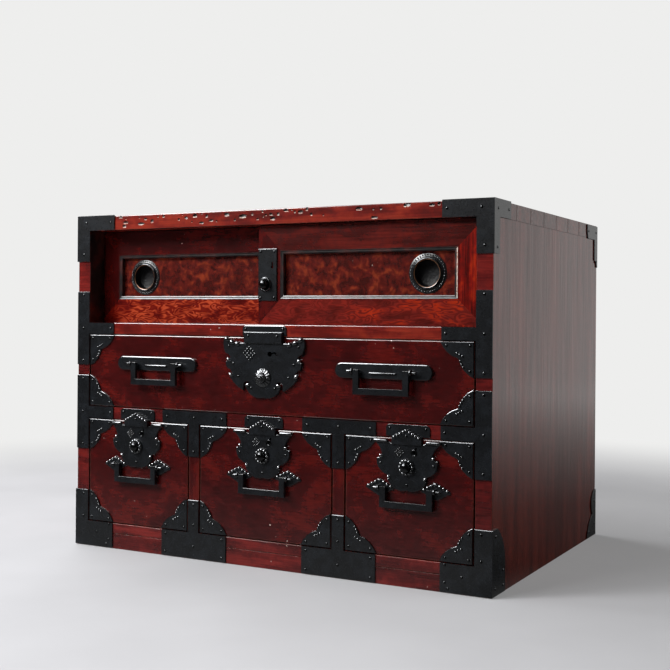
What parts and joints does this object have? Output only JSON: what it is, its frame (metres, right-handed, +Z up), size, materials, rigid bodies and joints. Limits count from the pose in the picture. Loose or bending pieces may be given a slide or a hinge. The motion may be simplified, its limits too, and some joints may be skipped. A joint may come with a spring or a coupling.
{
  "type": "tansu sea chest",
  "caption": "Low red-lacquered tansu sea chest bound in black iron: lapping sliding doors over a long drawer and a row of short drawers, with figured lock plates and hanging bail handles.",
  "frame": {"origin": "middle of the underside, on the surface that the chest stands on", "axes": "+Z up, +X to the right as seen from the front, -Y out of the front"},
  "size_m": [0.603, 0.4395, 0.4485],
  "materials": {
    "red_lacquer": "wiped red-brown lacquer on zelkova, glossy, worn pale at the edges",
    "dark_lacquer": "dark brown lacquer on the side boards, glossy",
    "figured_panel": "clear red lacquer over figured zelkova, glossy",
    "drawer_wood": "bare planed paulownia",
    "black_iron": "hammered wrought iron, lacquered black, rubbed bright on raised edges"
  },
  "bodies": {
    "chest": {"base_board": "red_lacquer", "drawer_floor": "red_lacquer", "back_panel": "drawer_wood", "left_post": "red_lacquer", "right_post": "red_lacquer", "lower_shelf": "red_lacquer", "upper_shelf": "red_lacquer", "top_board": "red_lacquer", "left_side": "dark_lacquer", "right_side": "dark_lacquer", "top_left_corner": "black_iron", "top_right_corner": "black_iron", "base_left_corner": "black_iron", "base_right_corner": "black_iron", "upper_left_band": "black_iron", "upper_right_band": "black_iron", "lower_left_band": "black_iron", "lower_right_band": "black_iron", "left_rail_tee": "black_iron", "right_rail_tee": "black_iron", "left_base_tee": "black_iron", "right_base_tee": "black_iron"},
    "left_door": {"left_door_frame": "red_lacquer", "left_door_panel": "figured_panel", "left_door_pull": "black_iron"},
    "right_door": {"right_door_frame": "red_lacquer", "right_door_panel": "figured_panel", "right_door_pull": "black_iron", "door_lock_plate": "black_iron"},
    "door_button": {"door_lock_button": "black_iron"},
    "large_drawer": {"large_drawer_front": "red_lacquer", "large_drawer_tray": "drawer_wood", "large_lock_plate": "black_iron", "large_left_handle_plate": "black_iron", "large_right_handle_plate": "black_iron"},
    "large_button": {"large_lock_button": "black_iron"},
    "large_left_handle": {"large_left_bail": "black_iron"},
    "large_right_handle": {"large_right_bail": "black_iron"},
    "left_drawer": {"left_drawer_front": "red_lacquer", "left_drawer_tray": "drawer_wood", "left_lock_plate": "black_iron", "left_left_lozenge": "black_iron", "left_right_lozenge": "black_iron"},
    "left_button": {"left_lock_button": "black_iron"},
    "left_handle": {"left_bail": "black_iron"},
    "middle_drawer": {"middle_drawer_front": "red_lacquer", "middle_drawer_tray": "drawer_wood", "middle_lock_plate": "black_iron", "middle_left_lozenge": "black_iron", "middle_right_lozenge": "black_iron"},
    "middle_button": {"middle_lock_button": "black_iron"},
    "middle_handle": {"middle_bail": "black_iron"},
    "right_drawer": {"right_drawer_front": "red_lacquer", "right_drawer_tray": "drawer_wood", "right_lock_plate": "black_iron", "right_left_lozenge": "black_iron", "right_right_lozenge": "black_iron"},
    "right_button": {"right_lock_button": "black_iron"},
    "right_handle": {"right_bail": "black_iron"}
  },
  "joints": [
    {"name": "left_door_slide", "type": "slide", "parent": "chest", "child": "left_door", "axis": [1, 0, 0], "range_m": [0, 0.263]},
    {"name": "right_door_slide", "type": "slide", "parent": "chest", "child": "right_door", "axis": [-1, 0, 0], "range_m": [0, 0.263]},
    {"name": "large_drawer_slide", "type": "slide", "parent": "chest", "child": "large_drawer", "axis": [0, -1, 0], "range_m": [0, 0.33]},
    {"name": "left_drawer_slide", "type": "slide", "parent": "chest", "child": "left_drawer", "axis": [0, -1, 0], "range_m": [0, 0.33]},
    {"name": "middle_drawer_slide", "type": "slide", "parent": "chest", "child": "middle_drawer", "axis": [0, -1, 0], "range_m": [0, 0.33]},
    {"name": "right_drawer_slide", "type": "slide", "parent": "chest", "child": "right_drawer", "axis": [0, -1, 0], "range_m": [0, 0.33]},
    {"name": "door_button_push", "type": "slide", "parent": "right_door", "child": "door_button", "axis": [0, 1, 0], "range_m": [0, 0.004], "stiffness_N_per_m": 800},
    {"name": "large_button_push", "type": "slide", "parent": "large_drawer", "child": "large_button", "axis": [0, 1, 0], "range_m": [0, 0.004], "stiffness_N_per_m": 800},
    {"name": "left_button_push", "type": "slide", "parent": "left_drawer", "child": "left_button", "axis": [0, 1, 0], "range_m": [0, 0.004], "stiffness_N_per_m": 800},
    {"name": "middle_button_push", "type": "slide", "parent": "middle_drawer", "child": "middle_button", "axis": [0, 1, 0], "range_m": [0, 0.004], "stiffness_N_per_m": 800},
    {"name": "right_button_push", "type": "slide", "parent": "right_drawer", "child": "right_button", "axis": [0, 1, 0], "range_m": [0, 0.004], "stiffness_N_per_m": 800},
    {"name": "large_left_bail_swing", "type": "hinge", "parent": "large_drawer", "child": "large_left_handle", "pos_m": [-0.165, -0.222, 0.2495], "axis": [-1, 0, 0], "range_deg": [0, 170]},
    {"name": "large_right_bail_swing", "type": "hinge", "parent": "large_drawer", "child": "large_right_handle", "pos_m": [0.165, -0.222, 0.2495], "axis": [-1, 0, 0], "range_deg": [0, 170]},
    {"name": "left_bail_swing", "type": "hinge", "parent": "left_drawer", "child": "left_handle", "pos_m": [-0.19675, -0.2183, 0.114], "axis": [-1, 0, 0], "range_deg": [0, 150]},
    {"name": "middle_bail_swing", "type": "hinge", "parent": "middle_drawer", "child": "middle_handle", "pos_m": [0, -0.2183, 0.114], "axis": [-1, 0, 0], "range_deg": [0, 150]},
    {"name": "right_bail_swing", "type": "hinge", "parent": "right_drawer", "child": "right_handle", "pos_m": [0.19675, -0.2183, 0.114], "axis": [-1, 0, 0], "range_deg": [0, 150]}
  ]
}
